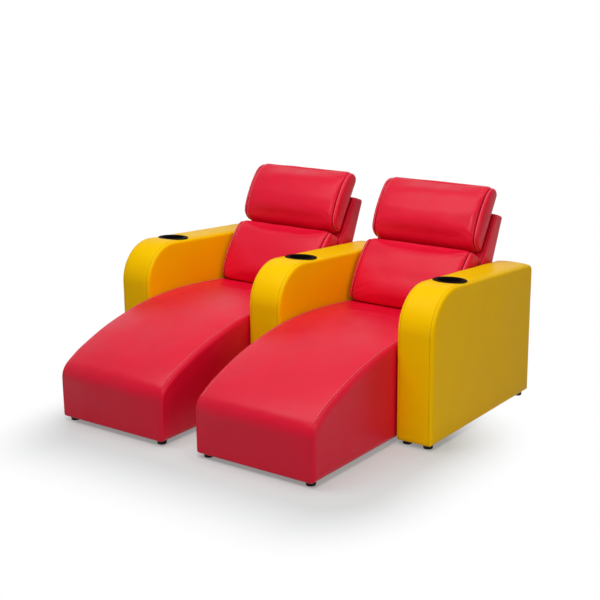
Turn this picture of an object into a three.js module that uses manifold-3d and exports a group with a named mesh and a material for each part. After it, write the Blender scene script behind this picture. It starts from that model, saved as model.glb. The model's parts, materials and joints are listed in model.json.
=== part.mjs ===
// A straight row of two reclining cinema loungers between three shared arms.
// Millimetres, +Z up. People sit facing -Y, and +X runs along the row.
// Inside the model y = 0 is the arms' front and z = 0 is the underside of the upholstered bodies.
import * as THREE from "three";
import { mergeVertices } from "three/addons/utils/BufferGeometryUtils.js";
import Module from "manifold-3d";

const wasm = await Module();
wasm.setup();

const rad = THREE.MathUtils.degToRad;

// Driving dimensions
const row = { seats: 2, seatWidth: 555, armWidth: 165 };
const pitch = row.seatWidth + row.armWidth;

const fit = {
  touch: 0.3, // left between pieces that rest on each other
  side: 2, // between a chaise and the arm beside it
  swing: 4, // between a back shell and the arm beside it
  bore: 0.5, // round a hinge pin
  overrun: 5, // how far a cut runs past the face it opens
  weld: 0.0003, // points closer than this are one point
};

const arm = {
  length: 836, // from y = 0
  height: 603, // of the top at its highest, above the underside
  fall: rad(3.7), // of the top towards the rear
  frontRadius: 170,
  cornerRadius: 18,
  edgeRadius: 14,
  wall: 14, // foam and leatherette
};
const armFrame = { board: 12, base: 15, end: 18 };
const armEndShare = 0.72; // of the arm's height, up to which its end boards reach
const cup = { reach: 262, flangeRadius: 68.5, flange: 3.5, radius: 48, wall: 2.5, depth: 76, taper: 4 };
const foot = { radius: 21, taper: 2.5, height: 20, inset: 36 };

const chaise = {
  reach: 550, // in front of the arms
  rear: 568, // end of the pad, behind the arms' front
  top: 398, // just over the side seams at their highest
  noseRadius: 80,
  endRadius: 15,
  edgeRadius: 14,
  crown: 13, // how much fuller the pad is along its middle
  crownFade: 120, // the run over which that crown dies away towards the back
  crownRest: 75, // the flat stretch between there and the lumbar cushion
  pad: 60, // the foam's depth on top
  nose: 20, // and at the front
  cover: 10, // the upholstered skin on the base's sides
  board: 18,
  deck: 12,
  baseRear: 690,
  baseHeight: 235, // behind the pad, where the base is low to clear the back
};
const noseClearShare = 0.8; // of the nose's radius, behind which the top line starts
// Along the pad, and up to its top, from the nose to the rear end
const chaiseShares = [
  [0, 0.525], [0.041, 0.593], [0.1, 0.681], [0.215, 0.805], [0.331, 0.893],
  [0.45, 0.957], [0.62, 0.991], [0.74, 0.982], [0.878, 0.954], [1, 0.913],
];

// The back is placed from the pad's rear end: out behind it and up over the seat's top.
const recline = {
  out: 24, drop: 68, // the hinge
  eye: 20, pin: 8, leaf: 5, play: 1,
  footing: 220, // of the fixed leaf, down the side board
  arm: 124, lean: rad(42.5), // of the moving leaf, up the shell
};
const shell = {
  out: 36, bottomDrop: 108, kneeDrop: 33, // the upright foot of the front face
  waistOut: 129, waistUp: 169, // where the two cushions part
  crestOut: 250, crestUp: 364,
  tailOut: 308, tailUp: 343, // the rear of its top
  heelOut: 110, // the rear of its foot
  corner: 11, edge: 8,
  slotUp: 45, skin: 18, // the hinge slots in its sides, and what is left behind them
};
const lumbar = {
  lip: 102, // how far its foot stands forward on the pad
  crest: 238, crestOut: 63, // its highest point
  shoulderUp: 194, // where it leaves the shell
  corner: 20, shoulder: 24, edge: 16, crown: 12, dome: 5,
};
// Over the lumbar cushion's front, from its lip to its crest
const lumbarShares = [[0.096, 0.22], [0.3, 0.486], [0.61, 0.755]];
const cushionInset = 8.5; // of a cushion's side from the arm beside it

const headHinge = {
  out: 122, rise: 229,
  eye: 9, pin: 5, ear: 6, play: 1,
  earInset: 96, reach: 112, // each side of the middle, to the inner ears and to the pin's end
  plate: 3, plateDrop: 12, plateUp: 44, // the plate on the shell
};
const headrest = {
  chin: 43, chinUp: 43, // how far its lower front stands forward of the hinge and over it
  lowUp: 19, lowOut: 30, // the front of its underside
  tipOut: 12, tipDrop: 29, // its lowest edge, behind the hinge
  topOut: 122, topUp: 257, rearOut: 166, rearUp: 219,
  corner: 26, low: 16, tip: 8, edge: 16, crown: 14, dome: 5,
};
// Over the headrest's front, from its chin to its top
const headrestShares = [[0.165, 0.327], [0.39, 0.617], [0.69, 0.888]];
const headPlate = {
  thick: 5, halfWidth: 120,
  from: 14, to: 72, // up the headrest's back, from the hinge
  front: 12, // of its face, before the hinge
  ears: 40,
  room: 3, // round it in its pocket
};

const tieBar = { width: 40, thick: 4, rear: 640, overhang: 60 };

// Facets: the turn of one on an arc, and how many a round, an edge, a crown or the top line has
const facets = {
  arcTurn: rad(16), cupSides: 24, footSides: 14, pinSides: 16,
  softEdgeSteps: 3, shellEdgeSteps: 2, crownSteps: 4, topLineSteps: 14,
};
const undersideFade = 3; // how fast a cushion's crown dies away where its front turns under

const sides = [["left", -1], ["right", 1]];

// A geometry as a solid, and a solid as a geometry
function solidOf(geometry) {
  const bare = geometry.clone();
  bare.deleteAttribute("normal");
  bare.deleteAttribute("uv");
  const merged = mergeVertices(bare, fit.weld);
  return new wasm.Manifold(new wasm.Mesh({
    numProp: 3,
    vertProperties: new Float32Array(merged.attributes.position.array),
    triVerts: new Uint32Array(merged.index.array),
  }));
}

function geometryOf(solid) {
  const mesh = solid.getMesh();
  const geometry = new THREE.BufferGeometry();
  geometry.setAttribute("position", new THREE.BufferAttribute(new Float32Array(mesh.vertProperties), 3));
  geometry.setIndex(new THREE.BufferAttribute(new Uint32Array(mesh.triVerts), 1));
  geometry.computeVertexNormals();
  return geometry;
}

// The same stretch of X on the right, or mirrored to the left
const span = (way, inner, outer) => (way > 0 ? [inner, outer] : [-outer, -inner]);
const bothSides = (inner, outer) => sides.map(([, way]) => span(way, inner, outer));

function cut(body, ...tools) {
  return geometryOf(tools.reduce((left, tool) => left.subtract(solidOf(tool)), solidOf(body)));
}

function join(body, ...others) {
  return geometryOf(others.reduce((whole, other) => whole.add(solidOf(other)), solidOf(body)));
}

// A box between two corners
function box([x0, y0, z0], [x1, y1, z1]) {
  const body = new THREE.BoxGeometry(x1 - x0, y1 - y0, z1 - z0);
  return body.translate((x0 + x1) / 2, (y0 + y1) / 2, (z0 + z1) / 2);
}

// A cylinder along X
function rod(x0, x1, y, z, radius, sides = facets.pinSides) {
  const body = new THREE.CylinderGeometry(radius, radius, x1 - x0, sides).rotateZ(Math.PI / 2);
  return body.translate((x0 + x1) / 2, y, z);
}

// Points [y, z, radius] as a line whose corners are arcs with a fixed count of steps each
function filleted(points, closed = true) {
  const line = [];
  points.forEach(([y, z, radius = 0], i) => {
    const last = points.length - 1;
    if (!radius || (!closed && (i === 0 || i === last))) return line.push([y, z]);
    const here = new THREE.Vector2(y, z);
    const back = new THREE.Vector2(...points[(i + last) % points.length]).sub(here).normalize();
    const ahead = new THREE.Vector2(...points[(i + 1) % points.length]).sub(here).normalize();
    const half = Math.acos(THREE.MathUtils.clamp(back.dot(ahead), -1, 1)) / 2;
    const centre = back.clone().add(ahead).normalize().multiplyScalar(radius / Math.sin(half)).add(here);
    const from = back.clone().multiplyScalar(radius / Math.tan(half)).add(here).sub(centre);
    const turn = Math.PI - 2 * half;
    const way = Math.sign(back.cross(ahead));
    const count = Math.max(1, Math.round(turn / facets.arcTurn));
    for (let k = 0; k <= count; k++) {
      const at = from.clone().rotateAround(new THREE.Vector2(), (-way * turn * k) / count).add(centre);
      line.push([at.x, at.y]);
    }
  });
  return line;
}

// An outline in y and z as a plate between two x values, its side edges rounded by edge
function plate(outline, x0, x1, edge = 0, rounds = facets.softEdgeSteps) {
  const shape = new THREE.Shape(outline.map(([y, z]) => new THREE.Vector2(y, z)));
  const body = new THREE.ExtrudeGeometry(shape, {
    depth: x1 - x0 - 2 * edge,
    steps: 1,
    bevelEnabled: edge > 0,
    bevelSize: edge,
    bevelThickness: edge,
    bevelOffset: -edge,
    bevelSegments: rounds,
  });
  const axes = [new THREE.Vector3(0, 1, 0), new THREE.Vector3(0, 0, 1), new THREE.Vector3(1, 0, 0)];
  return body.applyMatrix4(new THREE.Matrix4().makeBasis(...axes)).translate(x0 + edge, 0, 0);
}

// Outward normals of a closed line in y and z that runs anticlockwise
function normalsOf(line) {
  return line.map((_, i) => {
    const before = line[(i + line.length - 1) % line.length];
    const after = line[(i + 1) % line.length];
    const along = new THREE.Vector2(after[0] - before[0], after[1] - before[1]).normalize();
    return [along.y, -along.x];
  });
}

// A soft form: one closed line carried along X. At each station every point moves along its normal by what
// the station says, and the two ends are closed, each with a point that domes out.
function softForm(line, stations, moveAt, dome = 0) {
  const normals = normalsOf(line);
  const count = line.length;
  const places = [];
  stations.forEach((station) => line.forEach(([y, z], i) => {
    const move = moveAt(station, normals[i], i);
    places.push(station.x, y + normals[i][0] * move, z + normals[i][1] * move);
  }));
  const faces = [];
  for (let s = 0; s + 1 < stations.length; s++) {
    for (let i = 0; i < count; i++) {
      const [a, b] = [s * count + i, s * count + ((i + 1) % count)];
      faces.push(a, b, a + count, b, b + count, a + count);
    }
  }
  [0, stations.length - 1].forEach((s) => {
    const first = s * count;
    const ring = line.map((_, i) => {
      const [, y, z] = places.slice((first + i) * 3);
      return new THREE.Vector2(y, z);
    });
    const way = s === 0 ? -1 : 1;
    const facing = (corners) => (way < 0 ? corners.reverse() : corners);
    if (dome) {
      const centre = ring.reduce((sum, p) => sum.add(p), new THREE.Vector2()).divideScalar(count);
      places.push(stations[s].x + way * dome, centre.x, centre.y);
      const hub = places.length / 3 - 1;
      ring.forEach((_, i) => faces.push(...facing([first + i, first + ((i + 1) % count), hub])));
      return;
    }
    THREE.ShapeUtils.triangulateShape(ring, []).forEach((corners) => {
      faces.push(...facing(corners.map((k) => first + k)));
    });
  });
  const geometry = new THREE.BufferGeometry();
  geometry.setAttribute("position", new THREE.Float32BufferAttribute(places, 3));
  geometry.setIndex(faces);
  geometry.computeVertexNormals();
  return geometry;
}

// Stations across a soft form: both ends rounded by edge, and a crown that is full in the middle
function acrossStations(halfWidth, edge) {
  const end = [];
  for (let k = 0; k < facets.softEdgeSteps; k++) {
    const angle = (k / facets.softEdgeSteps) * (Math.PI / 2);
    end.push({ x: halfWidth - edge * (1 - Math.cos(angle)), inset: edge * (1 - Math.sin(angle)), crown: 0 });
  }
  const flat = halfWidth - edge;
  const stations = end.map((s) => ({ ...s, x: -s.x }));
  for (let k = 0; k <= facets.crownSteps; k++) {
    const share = (2 * k) / facets.crownSteps - 1;
    stations.push({ x: share * flat, inset: 0, crown: 1 - share ** 4 });
  }
  return stations.concat(end.reverse());
}

// Materials, one for each finish
const finish = {
  redLeather: () => new THREE.MeshStandardMaterial({ color: 0xd81a38, roughness: 0.42, metalness: 0 }),
  yellowLeather: () => new THREE.MeshStandardMaterial({ color: 0xf2b600, roughness: 0.42, metalness: 0 }),
  blackPlastic: () => new THREE.MeshStandardMaterial({ color: 0x14100f, roughness: 0.35, metalness: 0 }),
  plywood: () => new THREE.MeshStandardMaterial({ color: 0xc9a878, roughness: 0.8, metalness: 0 }),
  steel: () => new THREE.MeshStandardMaterial({ color: 0x55585c, roughness: 0.45, metalness: 1 }),
};

function piece(name, geometry, material, x = 0) {
  const mesh = new THREE.Mesh(geometry, material());
  mesh.name = name;
  mesh.position.x = x;
  return mesh;
}

// The arm's sloping top above y, or a line that lies inset under it
function armTopAt(y, inset = 0) {
  const behind = (y - arm.frontRadius) * Math.sin(arm.fall);
  return arm.height - arm.frontRadius + (arm.frontRadius - inset - behind) / Math.cos(arm.fall);
}

// The arm's side outline, drawn in by inset on all sides but its underside
function armOutline(inset = 0) {
  const rear = arm.length - inset;
  return filleted([
    [inset, 0],
    [rear, 0],
    [rear, armTopAt(rear, inset), Math.max(arm.cornerRadius - inset, arm.cornerRadius - arm.edgeRadius)],
    [inset, armTopAt(inset, inset), arm.frontRadius - inset],
  ]);
}

// Lays a thing flat on the arm's top at the cup's place
function onArmTop(geometry) {
  return geometry.rotateX(-arm.fall).translate(0, cup.reach, armTopAt(cup.reach));
}

// A black cup with a round flange that lies on the arm's top
function cupHolder() {
  const low = cup.radius - cup.taper;
  const rim = cup.radius + cup.wall;
  const lip = cup.flange / 3;
  const profile = [
    [0, -cup.depth],
    [low + cup.wall, -cup.depth],
    [rim, fit.touch],
    [cup.flangeRadius - lip, fit.touch],
    [cup.flangeRadius, fit.touch + lip],
    [cup.flangeRadius - cup.flange, fit.touch + cup.flange],
    [rim, fit.touch + cup.flange],
    [cup.radius, cup.flange / 2],
    [low, cup.wall - cup.depth],
    [0, cup.wall - cup.depth],
  ].map(([r, z]) => new THREE.Vector2(r, z));
  return onArmTop(new THREE.LatheGeometry(profile, facets.cupSides).rotateX(Math.PI / 2));
}

function cupHole(radius, depth) {
  const body = new THREE.CylinderGeometry(radius, radius, depth + fit.overrun, facets.cupSides);
  return onArmTop(body.rotateX(Math.PI / 2).translate(0, 0, (fit.overrun - depth) / 2));
}

// Leatherette over foam, open underneath
function armCover() {
  const half = row.armWidth / 2;
  const inner = armOutline(arm.wall).map(([y, z]) => [y, z > 0 ? z : -fit.overrun]);
  const hollow = plate(inner, arm.wall - half, half - arm.wall);
  const hole = cupHole(cup.radius + cup.wall + fit.touch, cup.depth);
  return cut(plate(armOutline(), -half, half, arm.edgeRadius), hollow, hole);
}

// A plywood box: two sides, two ends, a bottom board and the shelf under the cup
function armCarcass() {
  const inset = arm.wall + fit.touch;
  const half = row.armWidth / 2 - inset;
  const outline = armOutline(inset);
  const inner = half - armFrame.board;
  const rear = arm.length - inset;
  const shelf = armTopAt(cup.reach) - cup.depth - cup.radius * Math.sin(arm.fall) - fit.touch;
  const endTop = arm.height * armEndShare;
  const lapped = inner + armFrame.board / 2;
  const across = (y0, z0, y1, z1) => box([-lapped, y0, z0], [lapped, y1, z1]);
  return join(
    plate(outline, inner, half),
    plate(outline, -half, -inner),
    across(inset, 0, rear, armFrame.base),
    across(inset, 0, inset + armFrame.end, endTop),
    across(rear - armFrame.end, 0, rear, endTop),
    across(cup.reach - cup.flangeRadius, shelf - armFrame.board, cup.reach + cup.flangeRadius, shelf),
  );
}

function footGeometry() {
  const { radius, taper, height } = foot;
  const body = new THREE.CylinderGeometry(radius, radius - taper, height - fit.touch, facets.footSides);
  return body.rotateX(Math.PI / 2).translate(0, 0, -(height + fit.touch) / 2);
}

function footAt(name, x, y) {
  const mesh = piece(name, footGeometry(), finish.blackPlastic, x);
  mesh.position.y = y;
  return mesh;
}

function makeArm(name) {
  const group = new THREE.Group();
  group.add(piece(`${name}_cover`, armCover(), finish.yellowLeather));
  group.add(piece(`${name}_frame`, armCarcass(), finish.plywood));
  group.add(piece(`${name}_cup_holder`, cupHolder(), finish.blackPlastic));
  const across = row.armWidth / 2 - foot.inset;
  [["front", foot.inset], ["rear", arm.length - foot.inset]].forEach(([end, y]) => {
    sides.forEach(([side, way]) => group.add(footAt(`${name}_foot_${end}_${side}`, way * across, y)));
  });
  return group;
}

// The chaise's top line at its side seams, as a few straight runs that every piece under it follows
const topLine = (() => {
  const length = chaise.reach + chaise.rear;
  const knots = chaiseShares.map(([along, up]) => [along * length - chaise.reach, up * chaise.top]);
  const curve = new THREE.SplineCurve(knots.map((knot) => new THREE.Vector2(...knot)));
  return curve.getPoints(facets.topLineSteps).map((p) => [p.x, p.y]);
})();

function topAt(y) {
  const past = topLine.findIndex((p) => p[0] > y);
  const k = past < 0 ? topLine.length - 1 : Math.max(past, 1);
  const [[y0, z0], [y1, z1]] = [topLine[k - 1], topLine[k]];
  return z0 + ((z1 - z0) * (y - y0)) / (y1 - y0);
}

// The top line from one y to another, lowered by depth
function topRun(from, to, depth) {
  const inner = topLine.filter(([y]) => y > from && y < to).map(([y, z]) => [y, z - depth]);
  return [[from, topAt(from) - depth], ...inner, [to, topAt(to) - depth]];
}

const chaiseHalf = row.seatWidth / 2 - fit.side;
const coverInner = chaiseHalf - chaise.cover;
const boardOuter = coverInner - fit.touch;
const boardInner = boardOuter - chaise.board;
const noseInner = chaise.nose - chaise.reach;

// The pad runs up the nose and back along the top. Its outer side is crowned, its underside follows the deck.
function chaisePad() {
  const clear = topLine.filter(([y]) => y > chaise.noseRadius * noseClearShare - chaise.reach);
  const outer = filleted([
    [-chaise.reach, 0],
    [-chaise.reach, topLine[0][1], chaise.noseRadius],
    ...clear.slice(0, -1),
    [...clear.at(-1), chaise.endRadius],
    [chaise.rear, topAt(chaise.rear) - chaise.pad],
  ], false);
  const inner = topRun(noseInner, chaise.rear, chaise.pad).slice(0, -1);
  const line = [[noseInner, 0], ...inner, ...outer.slice().reverse()];
  const soft = line.map((_, i) => (i > inner.length + 1 ? 1 : 0));
  const pressed = chaise.rear - lumbar.lip - chaise.crownRest;
  const top = line.map(([y, z]) => {
    const up = THREE.MathUtils.clamp(z / topLine[0][1], 0, 1);
    return up * THREE.MathUtils.clamp((pressed - y) / chaise.crownFade, 0, 1);
  });
  return softForm(line, acrossStations(chaiseHalf, chaise.edgeRadius), (station, _, i) => {
    return soft[i] * (chaise.crown * station.crown * top[i] - station.inset);
  });
}

// Side outline of the base under the pad: the base steps down behind the pad to clear the back
function baseOutline(front, rear, padRear) {
  return [
    [front, 0],
    [rear, 0],
    [rear, chaise.baseHeight],
    [padRear, chaise.baseHeight],
    ...topRun(front, padRear, chaise.pad + fit.touch).reverse(),
  ];
}

// The same outline for a board, which also leaves room for the deck
function boardOutline(front, rear, padRear) {
  const under = chaise.deck + fit.touch;
  return baseOutline(front, rear, padRear).map(([y, z], i) => (i > 3 ? [y, z - under] : [y, z]));
}

function makeChaise(name) {
  const group = new THREE.Group();
  const front = noseInner + fit.touch;
  const panelFront = chaise.baseRear - chaise.board;
  const padRear = chaise.rear - fit.side;
  group.add(piece(`${name}_seat_pad`, chaisePad(), finish.redLeather));
  const deckTop = topRun(front, padRear, chaise.pad + fit.touch);
  const deckUnder = topRun(front, padRear, chaise.pad + fit.touch + chaise.deck);
  const deck = plate([...deckUnder, ...deckTop.reverse()], -boardOuter, boardOuter);
  group.add(piece(`${name}_seat_deck`, deck, finish.plywood));
  sides.forEach(([side, way]) => {
    const cover = plate(baseOutline(front, chaise.baseRear, padRear), ...span(way, coverInner, chaiseHalf));
    const boardSide = boardOutline(front, panelFront - fit.touch, padRear);
    const board = plate(boardSide, ...span(way, boardInner, boardOuter));
    group.add(piece(`${name}_side_cover_${side}`, cover, finish.redLeather));
    group.add(piece(`${name}_side_board_${side}`, board, finish.plywood));
    group.add(footAt(`${name}_foot_${side}`, way * (chaiseHalf - foot.inset), foot.inset - chaise.reach));
  });
  const between = boardInner - fit.touch;
  const frontTop = topAt(front) - chaise.pad - chaise.deck - 2 * fit.touch;
  const frontBoard = box([-between, front, 0], [between, front + chaise.board, frontTop]);
  group.add(piece(`${name}_front_board`, frontBoard, finish.plywood));
  const rearPanel = box([-boardOuter, panelFront, 0], [boardOuter, chaise.baseRear, chaise.baseHeight]);
  group.add(piece(`${name}_rear_panel`, rearPanel, finish.redLeather));
  return group;
}

// Places of the back, worked out from the pad's rear end and the seat's top
const place = (out, up) => [chaise.rear + out, chaise.top + up];
const hingeAt = place(recline.out, -recline.drop);
const headHingeAt = place(headHinge.out, headHinge.rise);
const shellWaist = place(shell.waistOut, shell.waistUp);
const shellCrest = place(shell.crestOut, shell.crestUp);
const shellKnee = place(shell.out, -shell.kneeDrop);

// The shell's front face between its knee and its waist
function shellFrontAt(z) {
  const share = (z - shellKnee[1]) / (shellWaist[1] - shellKnee[1]);
  return shellKnee[0] + share * (shellWaist[0] - shellKnee[0]);
}

const shellHalf = row.seatWidth / 2 - fit.swing;
const cushionHalf = row.seatWidth / 2 - cushionInset;
const fixedLeafOuter = boardInner - fit.touch;
const movingLeafOuter = fixedLeafOuter - recline.leaf - recline.play;
const slotInner = movingLeafOuter - recline.leaf - fit.touch;

// The upholstered board behind the cushions: a wedge, thick at the waist and thin at its top
function backShell() {
  const bottom = chaise.top - shell.bottomDrop;
  const heel = [chaise.rear + shell.heelOut, bottom];
  const tail = place(shell.tailOut, shell.tailUp);
  const outline = filleted([
    [shellKnee[0], bottom, shell.corner],
    [...heel, shell.corner],
    [...tail, shell.corner],
    [...shellCrest, shell.corner],
    [...shellWaist],
    [...shellKnee],
  ]);
  const body = plate(outline, -shellHalf, shellHalf, shell.edge, facets.shellEdgeSteps);
  const slotTop = chaise.top + shell.slotUp;
  const lean = (tail[0] - heel[0]) / (tail[1] - heel[1]);
  const skin = (z) => heel[0] + (z - heel[1]) * lean - shell.skin;
  const slot = [
    [shellKnee[0] - fit.overrun, bottom - fit.overrun],
    [skin(bottom - fit.overrun), bottom - fit.overrun],
    [skin(slotTop), slotTop],
    [shellKnee[0] - fit.overrun, slotTop],
  ];
  const slots = bothSides(slotInner, shellHalf + fit.overrun).map(([x0, x1]) => plate(slot, x0, x1));
  return cut(body, ...slots);
}

// A fixed leaf: a steel strip on the base's side board, with the stud that the back turns on
function fixedLeaf(way) {
  const [y, z] = hingeAt;
  const [x0, x1] = span(way, fixedLeafOuter - recline.leaf, fixedLeafOuter);
  const strip = box([x0, y - recline.eye, z - recline.footing], [x1, y + recline.eye, z]);
  const stud = span(way, movingLeafOuter - recline.leaf + fit.touch, fixedLeafOuter);
  return join(strip, rod(x0, x1, y, z, recline.eye), rod(...stud, y, z, recline.pin));
}

// A moving leaf: it turns on the stud and is screwed to the wall of the shell's slot
function movingLeaf(way) {
  const [y, z] = hingeAt;
  const [x0, x1] = span(way, movingLeafOuter - recline.leaf, movingLeafOuter);
  const upright = box([x0, -recline.eye, 0], [x1, recline.eye, recline.arm]);
  const strip = upright.rotateX(-recline.lean).translate(0, y, z);
  const hole = rod(x0 - fit.overrun, x1 + fit.overrun, y, z, recline.pin + fit.bore);
  return cut(join(strip, rod(x0, x1, y, z, recline.eye)), hole);
}

function lumbarCushion() {
  const bottom = topAt(chaise.rear - lumbar.lip) + fit.touch;
  const height = chaise.top + lumbar.crest - bottom;
  const depth = lumbar.lip + lumbar.crestOut;
  const at = (share, up) => [chaise.rear - lumbar.lip + share * depth, bottom + up * height];
  const touching = (z) => shellFrontAt(z) - fit.touch;
  const shoulder = chaise.top + lumbar.shoulderUp;
  const outline = filleted([
    [...at(0, 0), lumbar.corner],
    [touching(bottom), bottom, lumbar.edge],
    [touching(shoulder), shoulder, lumbar.shoulder],
    [...place(lumbar.crestOut, lumbar.crest), lumbar.corner],
    ...lumbarShares.map(([share, up]) => at(share, up)).reverse(),
  ]);
  return cushionForm(outline, lumbar);
}

// A fat cushion: its front crowned, its side edges rounded and its side panels domed
function cushionForm(outline, sizes) {
  const narrowing = 1 - sizes.dome / cushionHalf;
  const stations = acrossStations(cushionHalf, sizes.edge).map((s) => ({ ...s, x: s.x * narrowing }));
  const forward = ([ny, nz]) => Math.max(0, -ny) * THREE.MathUtils.clamp(1 + undersideFade * nz, 0, 1);
  const full = (station, normal) => sizes.crown * station.crown * forward(normal) - station.inset;
  return softForm(outline, stations, full, sizes.dome);
}

// The headrest's back and the shell's upper face both lean back, each by its own angle.
const headLean = Math.atan2(headrest.rearOut - headrest.tipOut, headrest.rearUp + headrest.tipDrop);
const shellLean = Math.atan2(shell.crestOut - shell.waistOut, shell.crestUp - shell.waistUp);
const leaning = (geometry, lean) => geometry.rotateX(-lean).translate(0, ...headHingeAt);
// How far behind the hinge a face lies that passes at out and up from it
const behindHinge = (out, up, lean) => out * Math.cos(lean) - up * Math.sin(lean);
const headBack = behindHinge(headrest.tipOut, -headrest.tipDrop, headLean);
const shellBack = behindHinge(shell.waistOut - headHinge.out, shell.waistUp - headHinge.rise, shellLean);

function headrestCushion() {
  const [y, z] = headHingeAt;
  const from = [y - headrest.chin, z + headrest.chinUp];
  const run = [headrest.topOut + headrest.chin, headrest.topUp - headrest.chinUp];
  const outline = filleted([
    [y + headrest.tipOut, z - headrest.tipDrop, headrest.tip],
    [y + headrest.rearOut, z + headrest.rearUp, headrest.corner],
    [y + headrest.topOut, z + headrest.topUp, headrest.corner],
    ...headrestShares.map(([out, up]) => [from[0] + out * run[0], from[1] + up * run[1]]).reverse(),
    [...from, headrest.corner],
    [y - headrest.lowOut, z + headrest.lowUp, headrest.low],
  ]);
  const pocketHalf = headPlate.halfWidth + headPlate.room;
  const low = [-pocketHalf, -headPlate.front, -headrest.chinUp];
  const high = [pocketHalf, headBack + 2 * fit.overrun, headPlate.to + headPlate.room];
  return cut(cushionForm(outline, headrest), leaning(box(low, high), headLean));
}

// A steel plate let into the headrest's back, with two ears that turn on the pin
function headrestPlate() {
  const { halfWidth, thick, from, to } = headPlate;
  const front = fit.touch - headPlate.front;
  const plateBody = box([-halfWidth, front, from], [halfWidth, front + thick, to]);
  const ears = bothSides(headHinge.earInset, headHinge.earInset + headHinge.ear).flatMap(([x0, x1]) => [
    box([x0, front + thick / 2, 0], [x1, headHinge.eye, headPlate.ears]),
    rod(x0, x1, 0, 0, headHinge.eye),
  ]);
  const hole = rod(-headHinge.reach, headHinge.reach, 0, 0, headHinge.pin + fit.bore);
  return leaning(cut(join(plateBody, ...ears), hole), headLean);
}

// A steel bracket on the shell, with two ears and the pin between them
function headrestBracket() {
  const { reach, eye, ear, plate: thick } = headHinge;
  const back = shellBack - fit.touch;
  const body = box([-reach, back - thick, -headHinge.plateDrop], [reach, back, headHinge.plateUp]);
  const inner = headHinge.earInset + ear + headHinge.play;
  const ears = bothSides(inner, inner + ear).flatMap(([x0, x1]) => [
    box([x0, 0, -eye], [x1, back - thick / 2, eye]),
    rod(x0, x1, 0, 0, eye),
  ]);
  return leaning(join(body, ...ears, rod(-reach, reach, 0, 0, headHinge.pin)), shellLean);
}

function makeBack(name) {
  const group = new THREE.Group();
  group.add(piece(`${name}_back_shell`, backShell(), finish.redLeather));
  group.add(piece(`${name}_lumbar_cushion`, lumbarCushion(), finish.redLeather));
  group.add(piece(`${name}_headrest_cushion`, headrestCushion(), finish.redLeather));
  group.add(piece(`${name}_headrest_plate`, headrestPlate(), finish.steel));
  group.add(piece(`${name}_headrest_bracket`, headrestBracket(), finish.steel));
  sides.forEach(([side, way]) => {
    group.add(piece(`${name}_fixed_leaf_${side}`, fixedLeaf(way), finish.steel));
    group.add(piece(`${name}_moving_leaf_${side}`, movingLeaf(way), finish.steel));
  });
  return group;
}

// A flat steel bar under the rear of the row, screwed to each arm and each chaise
function tieBarGeometry() {
  const reach = (pitch * row.seats) / 2 + tieBar.overhang;
  const low = [-reach, tieBar.rear - tieBar.width, -fit.touch - tieBar.thick];
  return box(low, [reach, tieBar.rear, -fit.touch]);
}

const seatNames = ["left", "right"];
const armNames = ["left_arm", "centre_arm", "right_arm"];
const seatRow = new THREE.Group();
const acrossRow = (k, count) => (k - (count - 1) / 2) * pitch;
seatNames.forEach((name, k) => {
  const seat = new THREE.Group();
  seat.add(makeChaise(name), makeBack(name));
  seat.position.x = acrossRow(k, seatNames.length);
  seatRow.add(seat);
});
armNames.forEach((name, k) => {
  const one = makeArm(name);
  one.position.x = acrossRow(k, armNames.length);
  seatRow.add(one);
});
seatRow.add(piece("rear_tie_bar", tieBarGeometry(), finish.steel));

// The origin is on the floor, under the middle of the row's box.
const extent = new THREE.Box3().setFromObject(seatRow, true);
const middle = extent.getCenter(new THREE.Vector3());
seatRow.position.set(-middle.x, -middle.y, -extent.min.z);

export default seatRow;
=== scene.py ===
# A straight row of two cinema loungers between three shared arms, dressed in leatherette.
# Metres throughout. The people sit facing -Y, and +X runs along the row.
import json
from math import cos, pi, radians, sin, tan

import bpy
import numpy as np
from mathutils import Matrix, Vector


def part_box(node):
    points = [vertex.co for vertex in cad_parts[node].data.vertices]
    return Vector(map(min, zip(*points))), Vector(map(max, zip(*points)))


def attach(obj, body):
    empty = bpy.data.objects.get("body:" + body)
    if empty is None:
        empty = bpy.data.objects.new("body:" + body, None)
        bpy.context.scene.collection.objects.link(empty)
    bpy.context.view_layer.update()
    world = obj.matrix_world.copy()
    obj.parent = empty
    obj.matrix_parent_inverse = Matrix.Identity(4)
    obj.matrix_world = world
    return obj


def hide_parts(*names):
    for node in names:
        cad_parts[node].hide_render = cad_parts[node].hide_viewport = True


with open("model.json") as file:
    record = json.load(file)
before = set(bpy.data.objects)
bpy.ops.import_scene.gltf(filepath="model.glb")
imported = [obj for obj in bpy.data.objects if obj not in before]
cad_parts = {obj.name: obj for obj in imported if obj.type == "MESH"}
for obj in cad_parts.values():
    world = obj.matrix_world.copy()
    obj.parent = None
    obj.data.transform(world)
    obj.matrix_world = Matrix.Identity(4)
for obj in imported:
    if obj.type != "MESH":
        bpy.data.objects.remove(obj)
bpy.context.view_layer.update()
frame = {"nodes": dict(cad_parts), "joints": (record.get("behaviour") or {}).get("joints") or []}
print("frame loaded:", len(frame["nodes"]), "CAD pieces")
scene = bpy.context.scene


def middleX(node):
    low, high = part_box(node)
    return (low.x + high.x) / 2


def halfAcross(node):
    low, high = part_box(node)
    return (high.x - low.x) / 2


# Where things stand, read from the frame
armLow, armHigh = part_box("centre_arm_cover")
frontY, baseZ = armLow.y, armLow.z  # the arms' front, and the underside of the upholstery
armLength = armHigh.y - armLow.y
seatX = {side: middleX(f"{side}_seat_pad") for side in ("left", "right")}
armX = {name: middleX(f"{name}_cover") for name in ("left_arm", "centre_arm", "right_arm")}
joints = {joint["name"]: joint for joint in frame["joints"]}
reclineAt = np.array(joints["left_back_recline"]["pos_m"][1:])  # y and z, the same on both seats
headHingeAt = np.array(joints["left_headrest_tilt"]["pos_m"][1:])
frontAt = np.array([frontY, baseZ])

# Lines in y and z. They are closed and run anticlockwise, seen from +X.


def unit(vector):
    return vector / np.linalg.norm(vector)


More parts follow.
